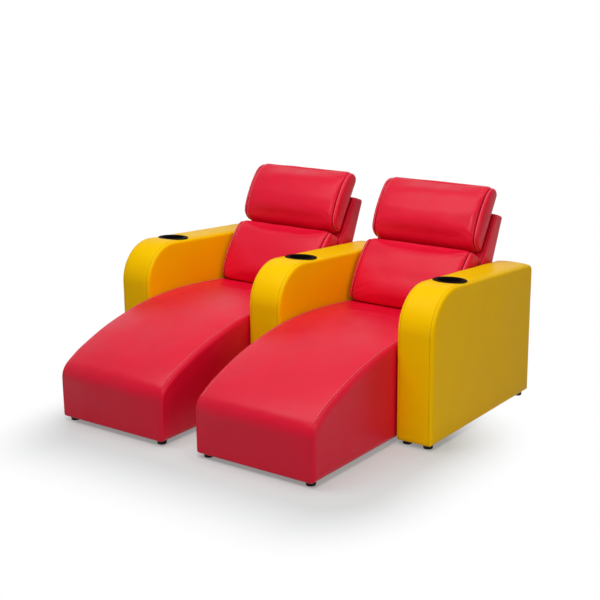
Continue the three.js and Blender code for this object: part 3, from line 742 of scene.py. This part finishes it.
def makeArm(name, x, seed):
    line = armLine()
    seam = halfAcross("centre_arm_cover") - arm["bulge"] - arm["edge"]
    outward = -inwardOf(line)
    soft = smoothStep(-0.5, 0.2, outward[:, 1])  # none underneath

    def crownAt(across):
        return arm["crown"] * max(0.0, 1 - (across / seam) ** 4) * soft

    piece = boxedPiece(f"{name}Upholstery", "centre_arm_cover", line, arm, seed, yellowLeather,
                       crownAt=crownAt)
    # The top is pressed in around the cup: dip * exp of minus the square of (distance - flange) / reach
    points = readAll(piece.data.vertices, "co")
    fromAxis = np.linalg.norm((points - cupAt)[:, :2] * [1, 1 / cos(arm["fall"])], axis=1)
    pressed = cup["dip"] * np.exp(-(((fromAxis - cup["flange"]) / cup["dipReach"]) ** 2))
    points[:, 2] -= pressed * (points[:, 2] > cupAt[2] - cup["dipBelow"])
    setPoints(piece.data, points)
    shown = shownRun((outward[:, 1] > -0.5) & (line[:, 1] > baseZ + arm["stitchFrom"]))
    threads = stitchSeams(f"{name}Stitching", piece, len(line), arm["stitchRow"], shown, yellowThread)
    moveBy((x, 0, 0), piece, threads)
    hole, depth, over = cup["hole"], cup["depth"], cup["over"]
    profile = [(0, -depth), (hole, -depth), (hole, over), (0, over)]
    well = turnedBody(f"{name}Well", profile, yellowLeather, 64)
    moveBy(cupAt + [x, 0, 0], well, lean=arm["fall"])
    cutAway(piece, [well])
    piece.data.materials.append(blackLining)
    faces = piece.data.polygons
    low = readAll(faces, "center")[:, 2] < baseZ + arm["lining"]
    lined = low & (readAll(faces, "normal")[:, 2] < -0.98)
    faces.foreach_set("material_index", lined.astype(np.int32))
    piece.data.shade_smooth()
    finishPiece(piece, "row", [f"{name}_cover"])
    finishPiece(threads, "row")


# The cup: a flange with a round lip, a tapered wall with a step near its mouth, and a floor with two rings
cupProfile = [(0, -0.076), (0.044, -0.076), (0.0462, -0.0742), (0.05, -0.03), (0.0503, 0.0002),
              (0.066, 0.0002), (0.068, 0.0006), (0.0685, 0.0014), (0.0681, 0.0023), (0.0668, 0.0031),
              (0.0645, 0.0036), (0.056, 0.0038), (0.0525, 0.0037), (0.0505, 0.0032), (0.049, 0.002),
              (0.0483, 0.0002), (0.048, -0.003), (0.0478, -0.03), (0.0456, -0.068), (0.044, -0.0715),
              (0.041, -0.0732), (0.033, -0.0735), (0.032, -0.0727), (0.03, -0.0727), (0.029, -0.0735),
              (0.018, -0.0735), (0.0172, -0.0728), (0.0155, -0.0728), (0.0147, -0.0735), (0, -0.0735)]


def makeCup(name, x):
    piece = turnedBody(f"{name}Cup", cupProfile, cupPlastic, 128)
    moveBy(cupAt + [x, 0, 0], piece, lean=arm["fall"])
    sharpen(piece, 35)
    finishPiece(piece, "row", [f"{name}_cup_holder"])


# Feet: a short round glide with a chamfered foot and a waist under its plate
footProfile = [(0, 0), (0.0165, 0), (0.018, 0.0006), (0.0187, 0.002), (0.0193, 0.012), (0.02, 0.015),
               (0.0209, 0.0162), (0.021, 0.018), (0.021, 0.0194), (0.0206, 0.0197), (0, 0.0197)]


def makeFoot(node):
    low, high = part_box(node)
    piece = turnedBody(f"{node}Glide", footProfile, footPlastic, 48)
    moveBy((middleX(node), (low.y + high.y) / 2, low.z), piece)
    sharpen(piece, 40)
    finishPiece(piece, "row", [node])


for count, (name, x) in enumerate(armX.items()):
    makeArm(name, x, seed=11 + count)
    makeCup(name, x)
for node in frame["nodes"]:
    if "_foot_" in node:
        makeFoot(node)
print("arms, cups and feet made")

# Chaise: a pad that runs from the foot over the nose to the back, between two padded side panels
chaise = {"reach": 0.550, "rear": 0.568, "top": 0.398, "noseRadius": 0.080, "endRadius": 0.015,
          "edge": 0.0140, "drop": 0.026, "dip": (0.0026, 0.0045), "middles": 24, "spacing": 0.006,
          "pad": 0.060, "nose": 0.020, "gap": 0.0002, "crown": 0.013, "crownFadeFrom": 0.270,
          "crownFadeTo": 0.390, "crownPower": 3.2, "shade": 0.35, "shadeWidth": 0.0012, "crispFrom": 60,
          "stitchRow": 3, "uneven": (0.0006, 0.22)}
sidePanel = {"rear": 0.570, "baseRear": 0.690, "baseHeight": 0.235, "bulge": 0.0035, "bulgeHalf": [0.56, 0.2],
             "hub": 0.17, "flangeInset": 0.0092, "frontShare": 0.4, "uneven": (0.0005, 0.2)}
chaiseShares = [(0, 0.525), (0.041, 0.593), (0.1, 0.681), (0.215, 0.805), (0.331, 0.893),
                (0.45, 0.957), (0.62, 0.991), (0.74, 0.982), (0.878, 0.954), (1, 0.913)]
noseEnd = chaise["noseRadius"] - chaise["reach"]  # where the nose ends, from the arms' front


def chaiseTop():
    # The side seams' line as (out, up) from nose to rear
    length = chaise["reach"] + chaise["rear"]
    knots = [(along * length - chaise["reach"], up * chaise["top"]) for along, up in chaiseShares]
    return splineThrough(knots, 160)


def upperCorners(top):
    # From the rear end forward over the top and down the nose, as corners
    clear = top[top[:, 0] > 0.8 * chaise["noseRadius"] - chaise["reach"]][::-1]
    return [(*clear[0], chaise["endRadius"])] + [tuple(point) for point in clear[1:]] + [
        (-chaise["reach"], top[0, 1], chaise["noseRadius"])]


def padLine():
    top = chaiseTop()
    nose = chaise["nose"] - chaise["reach"]
    under = top[top[:, 0] > nose] - [0, chaise["pad"]]
    corners = [(-chaise["reach"], 0, 0.004), (nose, 0, 0.004),
               (nose, np.interp(nose, *top.T) - chaise["pad"])] + [tuple(point) for point in under]
    return evenly(roundedLine(corners + upperCorners(top), frontAt), chaise["spacing"])


def panelLine():
    # The side panel's outline, with the low step behind the pad
    baseRear, baseHeight = sidePanel["baseRear"], sidePanel["baseHeight"]
    corners = [(-chaise["reach"], 0, 0.005), (baseRear, 0, 0.005), (baseRear, baseHeight, 0.008),
               (sidePanel["rear"], baseHeight)]
    return evenly(roundedLine(corners + upperCorners(chaiseTop()), frontAt), chaise["spacing"])


def frontness(line):
    # One on the upright front below the nose, nought on the top
    return smoothStep(0.55, 0.98, inwardOf(line)[:, 0]) * (line[:, 0] - frontY < noseEnd)


# Painted shade beside the chaise's seams: shade * exp(-(distance / width) squared)
def seamShadeAt(fromSeam):
    return chaise["shade"] * np.exp(-((fromSeam / chaise["shadeWidth"]) ** 2))


def makePad(side, x, seed):
    line = padLine()
    count = len(line)
    half = halfAcross(f"{side}_seat_pad")
    seam = half - chaise["edge"]
    section = fullSection(half, chaise)
    section = section[np.abs(section[:, 0]) < seam + 1e-6]
    section[[0, -1], 0] = [-seam + chaise["gap"], seam - chaise["gap"]]
    inward, front = inwardOf(line), frontness(line)
    # The crown stands on what faces up or forward, and fades towards the lumbar cushion and the floor
    out, up = (line - frontAt).T
    outer = (inward[:, 1] < -0.05) | ((inward[:, 0] > 0.5) & (out < noseEnd + 0.001))
    fade = smoothStep(chaise["crownFadeTo"], chaise["crownFadeFrom"], out) * smoothStep(-0.02, 0.2, up)
    full = chaise["crown"] * fade * outer
    rows = []
    for across, inset in section:
        crown = full * max(0.0, 1 - abs(across / seam) ** chaise["crownPower"])
        moved = line + inward * (inset * outer * (1 - front) - crown)[:, None]
        rows.append(np.column_stack([np.full(count, across), moved]))
    points = np.concatenate(rows)
    piece = newPiece(f"{side}SeatPad", points, cappedFaces(len(rows), count), redLeather)
    fromSeam = seam - np.abs(points[:, 0].reshape(len(rows), count))
    slow = unevenness(points, *chaise["uneven"], seed).reshape(fromSeam.shape)
    slow *= smoothStep(0, 0.03, fromSeam)  # nought at the seam
    pushOut(piece, points, ((slow - puckers(fromSeam, line, seed)) * outer).ravel())
    sharpen(piece, chaise["crispFrom"])
    # Painted shade in the seams of the top, none on the upright front
    paintShadeInSeams(piece, seamShadeAt(fromSeam) * outer * (1 - front))
    shown = shownRun(outer & (front < 0.3))
    threads = stitchSeams(f"{side}SeatStitching", piece, count, chaise["stitchRow"], shown, redThread)
    moveBy((x, 0, 0), piece, threads)
    finishPiece(piece, "row", [f"{side}_seat_pad"])
    finishPiece(threads, "row")


def makeSidePanel(side, way, x, seed):
    # A thin boxed form: its outer face has the seam's dip and a round edge, its inner face is flat
    line = panelLine()
    half = halfAcross(f"{side}_seat_pad")
    seam = half - chaise["edge"]
    hub = frontAt + [0.0, sidePanel["hub"]]
    front = frontness(line)
    grids = []
    for depth in (chaise["dip"][0], 0):  # with the dip for the top, without it for the front
        section = halfSection(half, {**chaise, "middles": 2, "dip": (depth, chaise["dip"][1])})
        outer = section[section[:, 0] > seam - 1e-6]
        outer[0, 0] = seam + chaise["gap"]
        section = np.vstack([(seam + chaise["gap"], sidePanel["flangeInset"]), outer])
        section = section if way > 0 else section[::-1] * [-1, 1]
        made, poles = boxedGrid(line, section, 0.0, hub, share=1 - sidePanel["frontShare"] * front)
        grids.append(made)
    grid = grids[0] + (grids[1] - grids[0]) * front[None, :, None]
    points = np.vstack([grid.reshape(-1, 3), poles])
    depth = np.abs(points[:, 0]) - seam
    # In front of the arms the outer face swells: bulge * (1.55 - u squared), with u the way from the hub
    u = np.clip(np.linalg.norm((points[:, 1:] - hub) / sidePanel["bulgeHalf"], axis=1), 0, 1)
    swell = np.clip(1.55 - u**2, 0, 1) * smoothStep(0.5, 1, depth / chaise["edge"])
    points[:, 0] += way * sidePanel["bulge"] * smoothStep(0.01, -0.08, points[:, 1] - frontY) * swell
    name = f"{side}SidePanel{'Left' if way < 0 else 'Right'}"
    piece = newPiece(name, points, gridFaces(len(grid), len(line)), redLeather)
    pushOut(piece, points, unevenness(points, *sidePanel["uneven"], seed) * smoothStep(0.001, 0.012, depth))
    sharpen(piece, chaise["crispFrom"])
    # Painted shade at the side panel's seam, none on the front
    paintShadeInSeams(piece, seamShadeAt(depth) * np.append(np.tile(1 - front, len(grid)), [0, 0]))
    moveBy((x, 0, 0), piece)
    node = f"{side}_side_cover_{'left' if way < 0 else 'right'}"
    finishPiece(piece, "row", [node])


for count, (side, x) in enumerate(seatX.items()):
    makePad(side, x, seed=21 + count)
    for way in (-1, 1):
        makeSidePanel(side, way, x, seed=31 + 2 * count + way)
print("chaises made")

# Backs: two boxed cushions on an upholstered board. Both cushions share these sizes.
cushion = {"edge": 0.018, "bulge": 0.005, "grown": 0.004, "drop": 0.021, "spacing": 0.005, "middles": 40,
           "stitchRow": hubRings + 6, "seamShadeWidth": 0.0017, "uneven": (0.0007, 0.17), "topShoulder": 0.65}
headrest = {
    **cushion, "origin": headHingeAt, "body": "headrest", "seed": 41, "most": 0.0155, "soften": 0.006,
    "frontSoften": 0.020, "shoulder": (0.009, 0.025),
    "corners": [(0.012, -0.029, 0.012), (0.166, 0.219, 0.026), (0.122, 0.257, 0.026), (0.0709, 0.233),
                (0.0214, 0.175), (-0.0158, 0.113), (-0.043, 0.043, 0.026), (-0.030, 0.019, 0.018)],
    "lean": radians(31.84), "pocketHalf": 0.123,
    "pocket": [(-0.012, -0.004), (-0.006, -0.008), (0.0005, -0.0085), (0.0005, -0.043), (0.060, -0.043),
               (0.060, 0.075), (-0.012, 0.075)]}
lumbar = {
    **cushion, "origin": reclineAt, "body": "back", "seed": 51, "most": 0.0125, "soften": 0.006,
    "frontSoften": 0.018, "shoulder": (0.0085, 0.024),
    "corners": [(-0.126, 0.0466, 0.018), (0.017, 0.0466, 0.016), (0.116, 0.262, 0.024), (0.039, 0.306, 0.022),
                (-0.0253, 0.2424), (-0.0765, 0.1727), (-0.1102, 0.1037)]}
shell = {"edge": 0.009, "bulge": 0.001, "spacing": 0.006, "middles": 12, "seamShadeWidth": 0.0012,
         "uneven": (0.0003, 0.2), "slotTop": 0.113, "slotFoot": -0.06, "slotDepth": 0.040, "slotOver": 0.02,
         "skin": 0.018,
         "corners": [(0.012, -0.040, 0.011), (0.086, -0.040, 0.011), (0.284, 0.411, 0.012),
                     (0.226, 0.432, 0.012), (0.105, 0.237), (0.012, 0.035)]}
rearPanel = {"edge": 0.0062, "seam": 0.006, "bulge": 0.0, "spacing": 0.006, "middles": 12,
             "seamShadeWidth": 0.0012, "uneven": (0.0004, 0.2)}


def prism(name, outline, x0, x1):
    # An outline in y and z, anticlockwise, carried from one x to another
    points = [(at, *corner) for at in (x0, x1) for corner in outline]
    return newPiece(name, points, cappedFaces(2, len(outline)), redLeather)


def pocketBody(sizes):
    # The room for the hinge in the cushion's back. It leans with it:
    # y = p cos a + q sin a, z = q cos a - p sin a
    lean, half = sizes["lean"], sizes["pocketHalf"]
    turn = np.array([(cos(lean), -sin(lean)), (sin(lean), cos(lean))])
    return prism("pocket", np.array(sizes["pocket"]) @ turn + sizes["origin"], -half, half)


def cushionLine(sizes):
    # The outline with its corners eased, and eased more on its front: even line + front share * (soft - even)
    line = evenly(roundedLine(sizes["corners"], sizes["origin"]), 0.002)
    line = evenly(softened(line, sizes["soften"]), sizes["spacing"])
    share = softenedShares(smoothStep(0.1, 0.5, inwardOf(line)[:, 0]))[:, None]
    line = line + share * (softened(line, sizes["frontSoften"]) - line)
    return line - inwardOf(line) * share * sizes["grown"]


def freedomOf(line):
    # What may swell: the front and the top, and less of what faces down. The back and the foot are held.
    outward = -inwardOf(line)
    faces = smoothStep(0.35, -0.1, outward[:, 0]) * (0.7 + 0.3 * smoothStep(-0.8, 0.3, outward[:, 1]))
    free = faces * smoothStep(-0.97, -0.8, outward[:, 1])
    return free * softenedShares(free)


# Cloth: the strip between a cushion's two seams is blown out by air, while its seams and its back are held
cloth = {"frames": 20, "spacing": 0.008, "power": 3.2, "heldBelow": 0.05, "settings": {
    "vertex_group_mass": "held", "use_pressure": True, "uniform_pressure_force": 4.0,
    "tension_stiffness": 14.0, "compression_stiffness": 14.0, "bending_stiffness": 1.5}}


def blownOut(name, line, seam, free, most):
    # How far each point of the strip moves, as (rows across, points along, x y z), the farthest by most.
    across = np.linspace(-seam, seam, round(2 * seam / cloth["spacing"]) + 1)
    grid = np.array([np.column_stack([np.full(len(line), x), line]) for x in across])
    strip = newPiece(name, grid, cappedFaces(len(grid), len(line)), redLeather)
    held = np.tile(free < cloth["heldBelow"], (len(grid), 1))
    held[[0, -1]] = True
    strip.vertex_groups.new(name="held").add(np.flatnonzero(held).tolist(), 1.0, "REPLACE")
    air = strip.modifiers.new("air", "CLOTH")
    for key, value in cloth["settings"].items():
        setattr(air.settings, key, value)
    air.settings.effector_weights.gravity = 0
    air.point_cache.frame_end = cloth["frames"]
    for step in range(1, cloth["frames"] + 1):
        scene.frame_set(step)
    applyModifiers(strip)
    moved = readAll(strip.data.vertices, "co").reshape(grid.shape) - grid
    bpy.data.objects.remove(strip)
    scene.frame_set(1)
    farthest = np.linalg.norm(moved, axis=2).max()
    print(f"{name}: blown out by {farthest * 1000:.1f} mm, kept at {most * 1000:.0f} mm")
    return moved * (most / farthest) * free[None, :, None]


def makeCushion(kind, side, x, sizes, line, moved, seed):
    name, node = f"{side}{kind.capitalize()}", f"{side}_{kind}_cushion"
    seam = halfAcross(node) - sizes["bulge"] - sizes["edge"]

    def moveAt(across):
        # Between two rows of the strip, in proportion
        place = (np.clip(across / seam, -1, 1) + 1) / 2 * (len(moved) - 1)
        row = min(int(place), len(moved) - 2)
        return moved[row] + (place - row) * (moved[row + 1] - moved[row])

    # The shoulders fall off less on top
    share = 1 - (1 - sizes["topShoulder"]) * smoothStep(0.4, 0.95, -inwardOf(line)[:, 1])
    piece = boxedPiece(f"{name}Cushion", node, line, sizes, seed, redLeather, share=share, moveAt=moveAt)
    around = np.append(np.arange(len(line)), 0)
    threads = stitchSeams(f"{name}Stitching", piece, len(line), sizes["stitchRow"], around, redThread)
    if "pocket" in sizes:
        cutAway(piece, [pocketBody(sizes)])
    moveBy((x, 0, 0), piece, threads)
    body = f"{side}_{sizes['body']}"
    finishPiece(piece, body, [node])
    finishPiece(threads, body)


def makeShell(side, x, seed):
    node = f"{side}_back_shell"
    line = evenly(roundedLine(shell["corners"], reclineAt), shell["spacing"])
    piece = boxedPiece(f"{side}BackShell", node, line, shell, seed, redLeather)
    moveBy((x, 0, 0), piece)
    # A slot at either side of its foot, for the leaves
    heel, tail = (np.array(corner[:2]) for corner in shell["corners"][1:3])
    lean = (tail[0] - heel[0]) / (tail[1] - heel[1])
    low, high = shell["slotFoot"], shell["slotTop"]
    rears = [heel[0] + (z - heel[1]) * lean - shell["skin"] for z in (low, high)]
    outline = np.array([(0, low), (rears[0], low), (rears[1], high), (0, high)]) + reclineAt
    half = halfAcross(node) - shell["bulge"]
    slots = []
    for way in (-1, 1):
        reaches = sorted(way * (half + out) + x for out in (-shell["slotDepth"], shell["slotOver"]))
        slots.append(prism(f"{side}Slot{way}", outline, *reaches))
    cutAway(piece, slots)
    finishPiece(piece, f"{side}_back", [node])


def makeRearPanel(side):
    # The padded panel across the rear of the base
    node = f"{side}_rear_panel"
    low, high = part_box(node)
    corners = [(low.y, low.z, 0.004), (high.y, low.z, 0.006), (high.y, high.z, 0.006), (low.y, high.z, 0.004)]
    line = evenly(roundedLine(corners, np.zeros(2)), rearPanel["spacing"])
    piece = boxedPiece(f"{side}RearPanel", node, line, rearPanel, 61, redLeather)
    moveBy((middleX(node), 0, 0), piece)
    finishPiece(piece, "row", [node])


for kind, sizes in (("headrest", headrest), ("lumbar", lumbar)):
    line = cushionLine(sizes)
    seam = halfAcross(f"left_{kind}_cushion") - sizes["bulge"] - sizes["edge"]
    moved = blownOut(f"{kind}Strip", line, seam, freedomOf(line), sizes["most"])
    for count, (side, x) in enumerate(seatX.items()):
        makeCushion(kind, side, x, sizes, line, moved, seed=sizes["seed"] + count)
print("cushions made")

for count, (side, x) in enumerate(seatX.items()):
    makeShell(side, x, seed=71 + count)
    makeRearPanel(side)
print("backs made")

# What stays as the frame has it gets its own finish
kept = {"_frame": boardWood, "_board": boardWood, "_deck": boardWood, "_leaf": hingeSteel, "_bar": hingeSteel,
        "_plate": hingeSteel, "_bracket": hingeSteel}
for node, piece in frame["nodes"].items():
    for word, material in kept.items():
        if word in node and not piece.hide_render:
            piece.data.materials.clear()
            piece.data.materials.append(material)
print("frame pieces finished")
